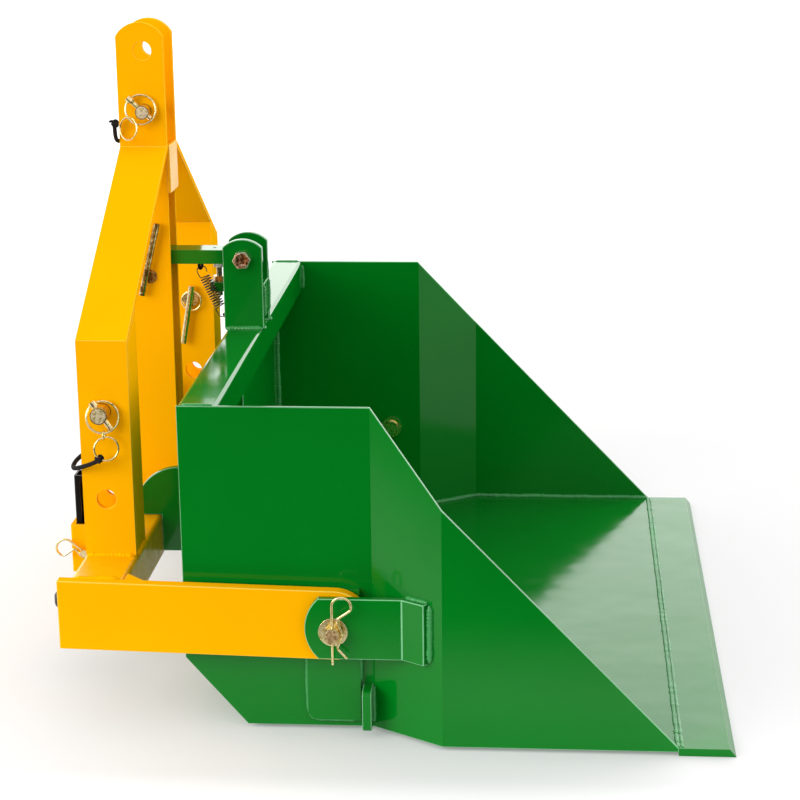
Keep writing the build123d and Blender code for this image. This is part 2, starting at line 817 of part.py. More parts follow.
def linchpin(middle, linchpin_lean, ring_tilt):
    """Short pin with a ring, laid about the ring's middle."""
    half_way = (linchpin_head_end - linchpin_tip_end) / 2
    pin = Pos(0, 0, half_way) * Cylinder(linchpin_radius, linchpin_head_end + linchpin_tip_end)
    head_middle = linchpin_head_end - linchpin_head_length / 2
    pin += Pos(0, 0, head_middle) * Cylinder(linchpin_head_radius, linchpin_head_length)
    pin += Rot(0, 0, ring_tilt) * Rot(90, 0, 0) * Torus(linchpin_ring_radius, linchpin_wire_radius)
    return Pos(middle) * Rot(0, linchpin_lean, 0) * pin


def linchpin_middle(pin_x, pin_y, height, linchpin_lean, push):
    """Middle of the ring, pushed along the linchpin from the hitch pin's axis."""
    lean = math.radians(linchpin_lean)
    return Vector(pin_x - push * math.sin(lean), pin_y, height - push * math.cos(lean))


lower_pin = hitch_pin(
    lower_x,
    lower_hole_high,
    -leg_outside,
    -leg_inside,
    lower_pin_radius,
    lower_pin_tail,
    lower_linchpin_offset,
    lower_handle_down,
    lower_linchpin_lean,
)
add_pair("lower_pin", lower_pin)
nodes["top_link_pin"] = hitch_pin(
    top_x,
    top_hole_low,
    -mast_outer,
    mast_outer,
    top_pin_radius,
    top_pin_tail,
    top_linchpin_offset,
    top_handle_down,
    top_linchpin_lean,
)
lower_linchpin_y = -leg_outside - lower_linchpin_offset
top_linchpin_y = -mast_outer - top_linchpin_offset
left_middle = linchpin_middle(
    lower_x,
    lower_linchpin_y,
    lower_hole_high,
    lower_linchpin_lean,
    lower_linchpin_push,
)
top_middle = linchpin_middle(top_x, top_linchpin_y, top_hole_low, top_linchpin_lean, top_linchpin_push)
add_pair("linchpin", linchpin(left_middle, lower_linchpin_lean, lower_ring_tilt))
nodes["linchpin_top"] = linchpin(top_middle, top_linchpin_lean, top_ring_tilt)

# Lanyards: a wire ring at each linchpin's ring and a cord round the bar's back edge


def ring_directions(linchpin_lean, ring_tilt):
    """Along the linchpin and across it, both in the plane of its ring."""
    lean = math.radians(linchpin_lean)
    tilt = math.radians(ring_tilt)
    along_pin = Vector(math.sin(lean), 0, math.cos(lean))
    across = Vector(math.cos(lean) * math.cos(tilt), math.sin(tilt), -math.sin(lean) * math.cos(tilt))
    return along_pin, across


def lanyard_ring(hook, ring_swing, ring_turn):
    """Wire ring that hangs from the hook point, its plane turned about the hanging line."""
    hang = math.radians(ring_swing)
    turn = math.radians(ring_turn)
    down = Vector(math.sin(hang), 0, -math.cos(hang))
    normal = Vector(0, math.cos(turn), 0) + Vector(math.cos(hang), 0, math.sin(hang)) * math.sin(turn)
    centre = hook + down * lanyard_ring_radius
    return Plane(origin=centre, x_dir=down, z_dir=normal) * Torus(lanyard_ring_radius, lanyard_wire_radius)


left_along, left_across = ring_directions(lower_linchpin_lean, lower_ring_tilt)
ring_foot = (left_along * left_along.Z + left_across * left_across.Z).normalized() * -linchpin_ring_radius
link_top = left_middle + ring_foot
link_middle = link_top - Vector(0, 0, lower_link_drop / 2)
small_link = Plane(origin=link_middle, z_dir=(1, 0, 0)) * Torus(link_radius, link_wire_radius)
link_foot = link_top - Vector(0, 0, lower_link_drop)
left_ring = lanyard_ring(link_foot, lower_lanyard_swing, lower_lanyard_turn)

top_along, top_across = ring_directions(top_linchpin_lean, top_ring_tilt)
top_flat = top_along.cross(top_across)
top_reach = linchpin_ring_radius - linchpin_wire_radius - lanyard_wire_radius - top_link_gap
hook_x = top_reach * math.sin(math.radians(top_link_turn))
hook_z = -top_reach * math.cos(math.radians(top_link_turn))
hook_y = top_link_forward - (hook_x * top_flat.X + hook_z * top_flat.Z) / top_flat.Y
top_ring = lanyard_ring(top_middle + Vector(hook_x, hook_y, hook_z), top_lanyard_swing, top_lanyard_turn)
nodes["lanyard_rings"] = left_ring + small_link + top_ring

left_route = [
    (-309.9, -379.5, 330.9),
    (-318.0, -377.0, 326.5),
    (-327.5, -374.5, 322.5),
    (-338.0, -370.5, 318.5),
    (-345.5, -363.0, 315.5),
    (-348.0, -354.0, 317.0),
    (-345.0, -345.0, 322.0),
    (-336.0, -340.0, 329.0),
    (-324.0, -341.0, 337.0),
    (-324.0, -354.0, 337.0),
]
top_route = [
    (-338.5, -50.5, 714.5),
    (-339.0, -47.0, 707.0),
    (-339.5, -43.0, 699.0),
    (-339.5, -37.0, 692.5),
    (-338.5, -28.0, 689.0),
    (-332.0, -19.5, 690.5),
    (-321.0, -17.5, 694.0),
    (-321.0, -29.0, 694.0),
]
nodes["lanyard_left"] = cord_tube(left_route, "lanyard_left")
nodes["lanyard_top"] = cord_tube(top_route, "lanyard_top")

# Release lever: shaft through the post with a collar, and a rod across its boss
shaft_far = post_half + lever_collar_thick
lever = disc(hitch_x, lever_axis_height, lever_shaft_radius, -post_half, shaft_far)
boss_face = -post_half - lever_boss_thick
lever += disc(hitch_x, lever_axis_height, lever_boss_radius, boss_face, -post_half)
lever += disc(hitch_x, lever_axis_height, lever_collar_radius, post_half, shaft_far)
lean = math.radians(lever_lean)
rod_y = boss_face - lever_rod_radius * 0.7
rod_x = hitch_x - lever_rod_back
rod_top = (rod_x + lever_up * math.sin(lean), rod_y, lever_axis_height + lever_up * math.cos(lean))
rod_foot = (rod_x - lever_down * math.sin(lean), rod_y, lever_axis_height - lever_down * math.cos(lean))
nodes["release_lever"] = lever + rod(rod_top, rod_foot, lever_rod_radius)

# Parking stands: sleeves on the cross beam, legs with feet, pins and clips
sleeve_back = beam_back - sleeve_size
sleeve_x = beam_back - sleeve_size / 2
sleeve_low = beam_low + sleeve_lift
sleeve_high = sleeve_low + sleeve_height
sleeve_half = sleeve_size / 2
sleeve_bore = sleeve_half - sleeve_wall
stand_half = sleeve_bore - stand_gap
stand_y = -stand_place
stand_pin_z = sleeve_low + pin_rise
sleeve_left = stand_y - sleeve_half
sleeve_right = stand_y + sleeve_half
sleeve = block(sleeve_back, beam_back, sleeve_left, sleeve_right, sleeve_low, sleeve_high)
sleeve = fillet(sleeve.edges().filter_by(Axis.Z), sleeve_corner)
sleeve -= block(
    sleeve_x - sleeve_bore,
    sleeve_x + sleeve_bore,
    stand_y - sleeve_bore,
    stand_y + sleeve_bore,
    sleeve_low,
    sleeve_high,
)
pin_hole_size = stand_pin_radius + running_clearance
stand_pin_hole = disc(sleeve_x, stand_pin_z, pin_hole_size, sleeve_left, sleeve_right)
add_pair("stand_sleeve", sleeve - stand_pin_hole)

leg_low = foot_height + foot_thick
stand_plan = RectangleRounded(2 * stand_half, 2 * stand_half, sleeve_corner)
stand_bore = stand_half - stand_wall
stand_plan -= Rectangle(2 * stand_bore, 2 * stand_bore)
stand = upright(Pos(sleeve_x, stand_y) * stand_plan, leg_low, stand_top)
stand += upright(Pos(sleeve_x, stand_y) * Circle(foot_radius), foot_height, leg_low)
slot_half = stand_pin_radius + stand_pin_gap
stand -= block(
    sleeve_x - slot_half,
    sleeve_x + slot_half,
    sleeve_left,
    sleeve_right,
    stand_pin_z - slot_half,
    stand_pin_z + stand_travel + slot_half,
)
add_pair("stand", stand)

pin_outer = sleeve_left - stand_pin_tail
pin_inner = sleeve_right
stand_pin = disc(sleeve_x, stand_pin_z, stand_pin_radius, pin_outer, pin_inner)
stand_pin += disc(sleeve_x, stand_pin_z, stand_pin_head, pin_inner, pin_inner + stand_pin_head_thick)
stand_clip_y = sleeve_left - stand_pin_tail / 2
tilt = math.radians(stand_clip_tilt)
clip_axis = Vector(math.cos(tilt), 0, -math.sin(tilt))
clip_side = Vector(-math.sin(tilt), 0, -math.cos(tilt))
stand_clip_place = Vector(sleeve_x, stand_clip_y, stand_pin_z)
bore_reach = clip_axis * (2 * stand_pin_radius)
clip_bore = rod(stand_clip_place - bore_reach, stand_clip_place + bore_reach, clip_hole_radius)
add_pair("stand_pin", stand_pin - clip_bore)
stand_clip = spring_clip(
    stand_clip_place,
    clip_side,
    (0, 1, 0),
    stand_pin_radius,
    stand_clip_leg,
    stand_clip_loop,
    stand_clip_tail,
)
nodes["stand_clips"] = stand_clip + other_side(stand_clip)

os.makedirs("parts", exist_ok=True)
for name, piece in nodes.items():
    export_step(piece, f"parts/{name}.step")
print(len(nodes), "nodes")
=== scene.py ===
import json
import math
import random
import bpy
import bmesh
from mathutils import Matrix, Vector, noise


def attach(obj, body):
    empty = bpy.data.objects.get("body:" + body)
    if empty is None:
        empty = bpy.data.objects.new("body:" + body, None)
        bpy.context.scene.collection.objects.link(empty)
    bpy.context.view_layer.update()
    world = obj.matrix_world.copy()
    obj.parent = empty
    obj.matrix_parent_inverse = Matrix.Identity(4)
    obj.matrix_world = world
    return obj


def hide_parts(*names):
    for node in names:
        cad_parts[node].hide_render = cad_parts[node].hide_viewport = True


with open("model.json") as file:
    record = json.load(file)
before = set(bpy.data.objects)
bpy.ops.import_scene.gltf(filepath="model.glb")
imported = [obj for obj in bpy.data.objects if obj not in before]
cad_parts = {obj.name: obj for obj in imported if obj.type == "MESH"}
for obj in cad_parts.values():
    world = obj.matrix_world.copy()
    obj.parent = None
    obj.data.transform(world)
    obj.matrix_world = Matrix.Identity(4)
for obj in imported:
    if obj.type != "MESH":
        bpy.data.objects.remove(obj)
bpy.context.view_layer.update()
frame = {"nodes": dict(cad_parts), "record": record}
NODES = frame["nodes"]
MM = 0.001
SIDES = ((-1, "left"), (1, "right"))

# Camera at the photograph's viewpoint: metres, degrees and pixels
CAMERA_PLACE = (0.2777, -2.8945, 1.1141)
CAMERA_AZIMUTH = 4.517
CAMERA_ELEVATION = 15.469
CAMERA_ROLL = -0.650
FOCAL_PIXELS = 2088.5
PICTURE_PIXELS = 800
SENSOR_WIDTH = 36
CLIP_END = 200

# Faces that the pieces follow, and ends of welds, in millimetres; both sides are alike
HALF_MOUTH = 500.0
HALF_REAR = 442.5
SHEET = 5.0
HALF_INSIDE = HALF_REAR - SHEET
MOUTH = 430.0
WALL_BACK = -194.0
WALL_FRONT = WALL_BACK + SHEET
BUCKET_TOP = 423.0
BEAM_LOW = 373.0
BEAM_FRONT = -144.0
CHAMFER_TOP = 90.0
CHAMFER_FOOT = -116.0
FLARE_START = 46.0
FLARE_END = 137.0
EAR_INSIDE = 23
EAR_OUTSIDE = 33
BRACE_LOW = 438.0
BRACE_HIGH = 484.0
PLATE_BACK = -37.0
PLATE_FRONT = 30.5
PLATE_LOW = 12.0
PLATE_WELD_TOP = 100.0
LUG_BACK = 34.0
LUG_LOW = 5.0
LUG_HIGH = 60.0
STRAP_BEND = (90.0, 470.5)
STRAP_TOE = (119.0, 489.0)
STRAP_END = (121.0, 491.0)
STRAP_LOW = 106.5
STRAP_HIGH = 186.5
STOP_INSIDE = 185.0
STOP_OUTSIDE = 195.0
STOP_LOW = 150.0
STOP_HIGH = 262.0
RIB_EDGE = 14
ARM_INSIDE = 452.0
CROSS_BACK = -337.0
CROSS_FRONT = -267.0
CROSS_TOP = 197.0
LEG_WELD_BACK = -333.0
LEG_WELD_FRONT = -271.0
LEG_OUTSIDE = 362.0
LEG_INSIDE = 300.0
BEND_INSIDE = 354.0
BEND_HEIGHT = 481.0
POST_HALF = 29.0
POST_TOP = 683.0
SLEEVE_MIDDLE = 250.0
SLEEVE_HALF = 20.0
STAND_X = -357.0
STAND_HALF = 13.0
FOOT_TOP = 101.0
PIVOT_HEIGHT = 143.5
PIVOT_PIN_END = 497.5
LOWER_PIN = (-304.5, 386.0, 392.0)
TOP_PIN = (-298.5, -55.0, 732.5)
LATCH_BOLT_HEAD = (-169.0, -43.0, 523.0)

# Noise scales per metre, and bump strengths and heights in metres
MOTTLE_SCALE = 5
GLOSS_SCALE = 30
PEEL_SCALE = 420
PEEL_STRENGTH = 0.05
PEEL_HEIGHT = 0.0004
SWAY_HEIGHT = 0.002
GRAIN_SCALE = 600
GRAIN_STRENGTH = 0.08
GRAIN_HEIGHT = 0.0003
WEAVE_SCALE = 900
WEAVE_HEIGHT = 0.0006
THREAD_PITCH = 0.0015
THREAD_HEIGHT = 0.0008


def make_camera():
    azimuth = math.radians(CAMERA_AZIMUTH)
    elevation = math.radians(CAMERA_ELEVATION)
    roll = math.radians(CAMERA_ROLL)
    level = math.cos(elevation)
    look = Vector((-math.sin(azimuth) * level, math.cos(azimuth) * level, -math.sin(elevation)))
    right = Vector((math.cos(azimuth), math.sin(azimuth), 0))
    up = right.cross(look)
    side = right * math.cos(roll) + up * math.sin(roll)
    top = up * math.cos(roll) - right * math.sin(roll)
    data = bpy.data.cameras.new("camera")
    data.sensor_width = SENSOR_WIDTH
    data.lens = FOCAL_PIXELS * SENSOR_WIDTH / PICTURE_PIXELS
    data.clip_end = CLIP_END
    camera = bpy.data.objects.new("camera", data)
    turn = Matrix((side, top, -look)).transposed().to_4x4()
    camera.matrix_world = Matrix.Translation(CAMERA_PLACE) @ turn
    bpy.context.scene.collection.objects.link(camera)
    bpy.context.scene.camera = camera


# Materials
def new_material(name):
    material = bpy.data.materials.new(name)
    material.use_nodes = True
    nodes = material.node_tree.nodes
    return material, nodes, material.node_tree.links, nodes["Principled BSDF"]


def noise_node(nodes, links, coord, scale, detail=3.0, roughness=0.5):
    texture = nodes.new("ShaderNodeTexNoise")
    texture.inputs["Scale"].default_value = scale
    texture.inputs["Detail"].default_value = detail
    texture.inputs["Roughness"].default_value = roughness
    links.new(coord, texture.inputs["Vector"])
    return texture.outputs["Fac"]


def ramp_node(nodes, links, value, stops):
    ramp = nodes.new("ShaderNodeValToRGB")
    elements = ramp.color_ramp.elements
    while len(elements) < len(stops):
        elements.new(0.5)
    for element, (place, colour) in zip(elements, stops):
        element.position = place
        element.color = (*colour, 1)
    links.new(value, ramp.inputs["Fac"])
    return ramp.outputs["Color"]


def range_node(nodes, links, value, low, high):
    """Spreads the middle of a noise over the range from low to high."""
    spread = nodes.new("ShaderNodeMapRange")
    spread.inputs["From Min"].default_value = 0.3
    spread.inputs["From Max"].default_value = 0.7
    spread.inputs["To Min"].default_value = low
    spread.inputs["To Max"].default_value = high
    links.new(value, spread.inputs["Value"])
    return spread.outputs["Result"]


def bump_node(nodes, links, height, strength, distance, normal=None):
    bump = nodes.new("ShaderNodeBump")
    bump.inputs["Strength"].default_value = strength
    bump.inputs["Distance"].default_value = distance
    links.new(height, bump.inputs["Height"])
    if normal:
        links.new(normal, bump.inputs["Normal"])
    return bump.outputs["Normal"]


def smooth_node(nodes, links, value, low, high):
    """Eases from 0 at the low value to 1 at the high one."""
    ease = nodes.new("ShaderNodeMapRange")
    ease.interpolation_type = "SMOOTHSTEP"
    ease.inputs["From Min"].default_value = low
    ease.inputs["From Max"].default_value = high
    links.new(value, ease.inputs["Value"])
    return ease.outputs["Result"]


def math_node(nodes, links, operation, *values):
    step = nodes.new("ShaderNodeMath")
    step.operation = operation
    for socket, value in zip(step.inputs, values):
        if isinstance(value, (int, float)):
            socket.default_value = value
        else:
            links.new(value, socket)
    return step.outputs["Value"]


def shade(colour, factor):
    return tuple(min(1.0, channel * factor) for channel in colour)


def enamel(name, colour, rough, specular, mottle=0.06, sway=0.04, sway_scale=26):
    """Gloss enamel on steel: slight mottling, an uneven gloss, a slow sway and a fine orange peel."""
    material, nodes, links, shader = new_material(name)
    coord = nodes.new("ShaderNodeTexCoord").outputs["Object"]
    broad = noise_node(nodes, links, coord, MOTTLE_SCALE, 4)
    stops = [(0.3, shade(colour, 1 - mottle)), (0.7, shade(colour, 1 + mottle))]
    links.new(ramp_node(nodes, links, broad, stops), shader.inputs["Base Color"])
    gloss = noise_node(nodes, links, coord, GLOSS_SCALE, 3)
    links.new(range_node(nodes, links, gloss, rough * 0.8, rough * 1.25), shader.inputs["Roughness"])
    fine = noise_node(nodes, links, coord, PEEL_SCALE, 2)
    wave = noise_node(nodes, links, coord, sway_scale, 2)
    swayed = bump_node(nodes, links, wave, sway, SWAY_HEIGHT)
    peeled = bump_node(nodes, links, fine, PEEL_STRENGTH, PEEL_HEIGHT, swayed)
    links.new(peeled, shader.inputs["Normal"])
    shader.inputs["Specular IOR Level"].default_value = specular
    return material


def plated(name, stops, rough, scale, metal=1.0):
    """Zinc plating with its cloudy bloom; in the gold and pin-face tones the darkest and brightest stops
    also serve as painted reflections and glints.
    """
    material, nodes, links, shader = new_material(name)
    coord = nodes.new("ShaderNodeTexCoord").outputs["Object"]
    bloom = noise_node(nodes, links, coord, scale, 4, 0.6)
    links.new(ramp_node(nodes, links, bloom, stops), shader.inputs["Base Color"])
    grain = noise_node(nodes, links, coord, GRAIN_SCALE, 2)
    links.new(range_node(nodes, links, grain, rough * 0.75, rough * 1.3), shader.inputs["Roughness"])
    links.new(bump_node(nodes, links, grain, GRAIN_STRENGTH, GRAIN_HEIGHT), shader.inputs["Normal"])
    shader.inputs["Metallic"].default_value = metal
    return material


def woven_cord():
    material, nodes, links, shader = new_material("black_woven_cord")
    coord = nodes.new("ShaderNodeTexCoord").outputs["Object"]
    weave = nodes.new("ShaderNodeTexVoronoi")
    weave.inputs["Scale"].default_value = WEAVE_SCALE
    links.new(coord, weave.inputs["Vector"])
    stops = [(0.0, (0.002, 0.002, 0.002)), (1.0, (0.022, 0.018, 0.016))]
    links.new(ramp_node(nodes, links, weave.outputs["Distance"], stops), shader.inputs["Base Color"])
    links.new(bump_node(nodes, links, weave.outputs["Distance"], 0.5, WEAVE_HEIGHT), shader.inputs["Normal"])
    shader.inputs["Roughness"].default_value = 0.85
    shader.inputs["Specular IOR Level"].default_value = 0.2
    return material


def threaded(name, tone, pitch):
    """Plated thread: close ridges along Z, where a wave of scale 1 repeats every pi / 10; the grooves are
    painted darker as painted shade.
    """
    material, nodes, links, shader = new_material(name)
    coord = nodes.new("ShaderNodeTexCoord").outputs["Object"]
    wave = nodes.new("ShaderNodeTexWave")
    wave.bands_direction = "Z"
    wave.inputs["Scale"].default_value = math.pi / 10 / pitch
    links.new(coord, wave.inputs["Vector"])
    # painted shade: the grooves between the ridges darken to 0.3 of the tone
    stops = [(0.1, shade(tone, 0.3)), (0.7, tone)]
    links.new(ramp_node(nodes, links, wave.outputs["Fac"], stops), shader.inputs["Base Color"])
    links.new(bump_node(nodes, links, wave.outputs["Fac"], 0.9, THREAD_HEIGHT), shader.inputs["Normal"])
    shader.inputs["Metallic"].default_value = 1.0
    shader.inputs["Roughness"].default_value = 0.3
    return material


# Paint colours, and the tones of the plating by noise level
GREEN = (0.0, 0.180, 0.0107)
# pale edge colours for the bevels: painted highlight along sheet and bar edges, with some worn paint
GREEN_EDGE_HIGHLIGHT_AND_WEAR = (0.16, 0.44, 0.21)
GREEN_BEAD = (0.03, 0.27, 0.06)
YELLOW = (0.97, 0.432, 0.0008)
YELLOW_EDGE_HIGHLIGHT_AND_WEAR = (1.0, 0.57, 0.07)
BLACK = (0.006, 0.0055, 0.005)
WHITE = (0.95, 0.95, 0.93)
THREAD = (0.74, 0.66, 0.46)
# gold tones: real plating bloom, with near-black and near-white stops that are painted reflection contrast
# and glints
GOLD_BLOOM_AND_GLINTS = [
    (0.30, (0.20, 0.13, 0.03)),
    (0.42, (0.80, 0.62, 0.22)),
    (0.54, (0.97, 0.86, 0.48)),
    (0.64, (0.80, 0.52, 0.36)),
    (0.76, (0.55, 0.55, 0.22)),
]
# pin-face tones: real plating bloom, with bright stops that are painted reflection on the half-diffuse pin
# ends
PIN_FACE_BLOOM_AND_GLINTS = [
    (0.32, (0.24, 0.15, 0.05)),
    (0.44, (0.58, 0.44, 0.19)),
    (0.56, (0.84, 0.74, 0.48)),
    (0.66, (0.72, 0.42, 0.36)),
    (0.78, (0.45, 0.48, 0.24)),
]
DARK_BLOOM = [(0.32, (0.12, 0.06, 0.02)), (0.52, (0.52, 0.34, 0.12)), (0.7, (0.9, 0.74, 0.44))]
PALE_BLOOM = [(0.35, (0.72, 0.60, 0.36)), (0.6, (0.98, 0.93, 0.76))]
COPPER_BLOOM = [(0.36, (0.05, 0.02, 0.01)), (0.5, (0.34, 0.15, 0.07)), (0.66, (0.85, 0.62, 0.5))]
BROWN_BLOOM = [(0.34, (0.20, 0.11, 0.04)), (0.66, (0.68, 0.48, 0.22))]
WIRE_BLOOM = [(0.35, (0.03, 0.022, 0.014)), (0.7, (0.22, 0.17, 0.11))]
mat = {
    "green_paint": enamel("green_enamel", GREEN, 0.1, 0.25),
    "green_sheet": enamel("green_enamel_sheet", GREEN, 0.13, 0.25, sway=0.7, sway_scale=8),
    "yellow_paint": enamel("yellow_enamel", YELLOW, 0.3, 0.0, mottle=0.03),
    "yellow_cover": enamel("yellow_enamel_cover", YELLOW, 0.25, 0.11, mottle=0.03),
    "black_paint": enamel("black_enamel", BLACK, 0.4, 0.08),
    "green_edge": enamel("green_edge_highlight_and_wear", GREEN_EDGE_HIGHLIGHT_AND_WEAR, 0.3, 0.15, mottle=0.4),
    "yellow_edge": enamel("yellow_edge_highlight_and_wear", YELLOW_EDGE_HIGHLIGHT_AND_WEAR, 0.4, 0.05, mottle=0.15),
    "green_weld": enamel("green_enamel_weld", GREEN_BEAD, 0.2, 0.5, mottle=0.2),
    "white_plastic": enamel("white_plastic_cap", WHITE, 0.5, 0.4),
    "gold_zinc": plated("gold_zinc_plate", GOLD_BLOOM_AND_GLINTS, 0.22, 230),
    "dark_zinc": plated("dark_zinc_plate", DARK_BLOOM, 0.2, 150),
    "pale_zinc": plated("pale_zinc_plate", PALE_BLOOM, 0.25, 200),
    "copper_bloom": plated("copper_bloom_plate", COPPER_BLOOM, 0.3, 330),
    "spring_steel": plated("spring_wire", WIRE_BLOOM, 0.35, 160),
    "pin_face": plated("pin_face_plate", PIN_FACE_BLOOM_AND_GLINTS, 0.35, 320, metal=0.5),
    "brown_zinc": plated("brown_zinc_plate", BROWN_BLOOM, 0.35, 300, metal=0.5),
    "black_cord": woven_cord(),
    "zinc_thread": threaded("zinc_thread", THREAD, THREAD_PITCH),
}

# How the CAD nodes are dressed
SLOT_OF = {part["node"]: part["material_slot"] for part in frame["record"]["subparts"]}
EDGE_OF = {"green_paint": "green_edge", "yellow_paint": "yellow_edge"}
WELD_OF = {"green_paint": "green_weld"}
FINISH = {
    "stop_bolt": "zinc_thread",
    "stop_nut": "dark_zinc",
    "bucket_shell": "green_sheet",
    "cutting_edge": "green_sheet",
    "post_cover": "yellow_cover",
    "cross_beam": "yellow_cover",
    "latch_bolt": "pale_zinc",
    "release_lever": "dark_zinc",
}
SHEETS = ("bucket_side_left", "bucket_side_right", "bucket_shell")
STRAPS = ("strap_left", "strap_right")
FOLDED = (*SHEETS, "mast_bar_left", "mast_bar_right", *STRAPS)
WHOLE = ("pivot_plate_left", "pivot_plate_right")
PLAIN = ("lanyard_left", "lanyard_top", "latch_spring", "lanyard_rings")
JOIN_DISTANCE = 0.00002
FLAT_ANGLE = 0.8
EDGE_ANGLE = 40
# a lower angle on the straps, so that their folds also get the pale edge, a painted highlight line
STRAP_EDGE_ANGLE = 25
FOLD_ANGLE = 20
PAINTED_EDGE = 1.1 * MM
SHEET_EDGE = 0.9 * MM
PLATED_EDGE = 0.5 * MM


def dress(node, thing):
    """Gives a CAD node its finish, softened edges, and painted steel a pale edge colour on its bevels, a
    painted highlight with some worn paint.
    """
    slot = SLOT_OF[node]
    thing.data.materials.clear()
    thing.data.materials.append(mat[FINISH.get(node, slot)])
    if node in PLAIN:
        return
    weld = thing.modifiers.new("join", "WELD")
    weld.merge_threshold = JOIN_DISTANCE
    if node not in WHOLE:
        flat = thing.modifiers.new("flat", "DECIMATE")
        flat.decimate_type = "DISSOLVE"
        flat.angle_limit = math.radians(FLAT_ANGLE)
    bevel = thing.modifiers.new("edge", "BEVEL")
    bevel.segments = 2
    bevel.limit_method = "ANGLE"
    bevel.angle_limit = math.radians(STRAP_EDGE_ANGLE if node in STRAPS else EDGE_ANGLE)
    if slot not in EDGE_OF or node == "cutting_edge":
        bevel.width = PLATED_EDGE
    else:
        bevel.width = SHEET_EDGE if node in SHEETS else PAINTED_EDGE
        # the bevel faces take the pale edge colour, a painted highlight with some worn paint
        thing.data.materials.append(mat[EDGE_OF[slot]])
        bevel.material = 1
    if node in FOLDED:
        fold = thing.modifiers.new("fold", "EDGE_SPLIT")
        fold.split_angle = math.radians(FOLD_ANGLE)
    thing.modifiers.new("faces", "WEIGHTED_NORMAL")


for node, thing in NODES.items():
    dress(node, thing)


# Pieces
def add_mesh(name, mesh, slot, body, finish=None):
    thing = bpy.data.objects.new(name, mesh)
    bpy.context.scene.collection.objects.link(thing)
    mesh.materials.append(mat[finish or slot])
    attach(thing, body)
    return thing


def mesh_data(name, mesh, smooth):
    """Turns a bmesh with its faces outwards into mesh data."""
    bmesh.ops.recalc_face_normals(mesh, faces=mesh.faces)
    data = bpy.data.meshes.new(name)
    mesh.to_mesh(data)
    mesh.free()
    for face in data.polygons:
        face.use_smooth = smooth
    return data


def skin(mesh, rings, closed=False):
    """Joins rings of points with quads, and closes the ends of an open tube."""
    count = len(rings[0])
    pairs = list(zip(rings, rings[1:]))
    if closed:
        pairs.append((rings[-1], rings[0]))
    else:
        mesh.faces.new(list(reversed(rings[0])))
        mesh.faces.new(rings[-1])
    for first, second in pairs:
        for side in range(count):
            follow = (side + 1) % count
            mesh.faces.new((first[side], first[follow], second[follow], second[side]))


# Lanyards: the routes repeat the solids' routes, in millimetres
CORD_RADIUS = 2.9
LEFT_ROUTE = [
    (-309.9, -379.5, 330.9), (-318.0, -377.0, 326.5), (-327.5, -374.5, 322.5), (-338.0, -370.5, 318.5),
    (-345.5, -363.0, 315.5), (-348.0, -354.0, 317.0), (-345.0, -345.0, 322.0), (-336.0, -340.0, 329.0),
    (-324.0, -341.0, 337.0), (-324.0, -354.0, 337.0),
]
TOP_ROUTE = [
    (-338.5, -50.5, 714.5), (-339.0, -47.0, 707.0), (-339.5, -43.0, 699.0), (-339.5, -37.0, 692.5),
    (-338.5, -28.0, 689.0), (-332.0, -19.5, 690.5), (-321.0, -17.5, 694.0), (-321.0, -29.0, 694.0),
]


def lanyard(name, points, node):
    curve = bpy.data.curves.new(name, "CURVE")
    curve.dimensions = "3D"
    spline = curve.splines.new("NURBS")
    spline.points.add(len(points) - 1)
    for place, point in zip(spline.points, points):
        place.co = (*[value * MM for value in point], 1)
    spline.order_u = 3
    spline.use_endpoint_u = True
    spline.resolution_u = 12
    curve.bevel_depth = CORD_RADIUS * MM
    curve.bevel_resolution = 5
    curve.use_fill_caps = True
    thing = bpy.data.objects.new(name, curve)
    bpy.context.scene.collection.objects.link(thing)
    curve.materials.append(mat["black_cord"])
    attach(thing, "frame")
    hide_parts(node)
    return thing


cord_left = lanyard("cord_left", LEFT_ROUTE, "lanyard_left")
cord_top = lanyard("cord_top", TOP_ROUTE, "lanyard_top")


def tube_mesh(name, points, radius, slot, body, closed=False, sides=12, taper=None):
    """Tube along points in millimetres; its cross-section is carried along without twisting."""
    spots = [Vector(point) for point in points]
    count = len(spots)
    mesh = bmesh.new()
    rings = []
    frame_x = None
    for index, spot in enumerate(spots):
        before = spots[index - 1] if closed or index else spot
        after = spots[(index + 1) % count] if closed or index < count - 1 else spot
        along = (after - before).normalized()
        if frame_x is None:
            frame_x = along.orthogonal().normalized()
        frame_x = (frame_x - along * frame_x.dot(along)).normalized()
        frame_y = along.cross(frame_x)
        size = radius * (taper(index / (count - 1)) if taper else 1)
        loop = []
        for side in range(sides):
            angle = 2 * math.pi * side / sides
            outward = frame_x * math.cos(angle) + frame_y * math.sin(angle)
            loop.append(mesh.verts.new((spot + outward * size) * MM))
        rings.append(loop)
    skin(mesh, rings, closed)
    return add_mesh(name, mesh_data(name, mesh, True), slot, body)


KNOT_STEPS = 72
KNOT_CORD_RADIUS = 2.7


def knot(name, centre, size, turn):
    """Overhand knot: one closed cord laid in three lobes, drawn tight."""
    tilt = Matrix.Rotation(math.radians(turn), 3, "X")
    spin = Matrix.Rotation(math.radians(turn * 0.6), 3, "Z")
    rotation = tilt @ spin
    points = []
    for step in range(KNOT_STEPS):
        angle = 2 * math.pi * step / KNOT_STEPS
        lobe = Vector((
            math.sin(angle) + 2 * math.sin(2 * angle),
            math.cos(angle) - 2 * math.cos(2 * angle),
            -1.6 * math.sin(3 * angle),
        ))
        points.append(Vector(centre) + rotation @ lobe * size)
    tube_mesh(name, points, KNOT_CORD_RADIUS, "black_cord", "frame", closed=True)


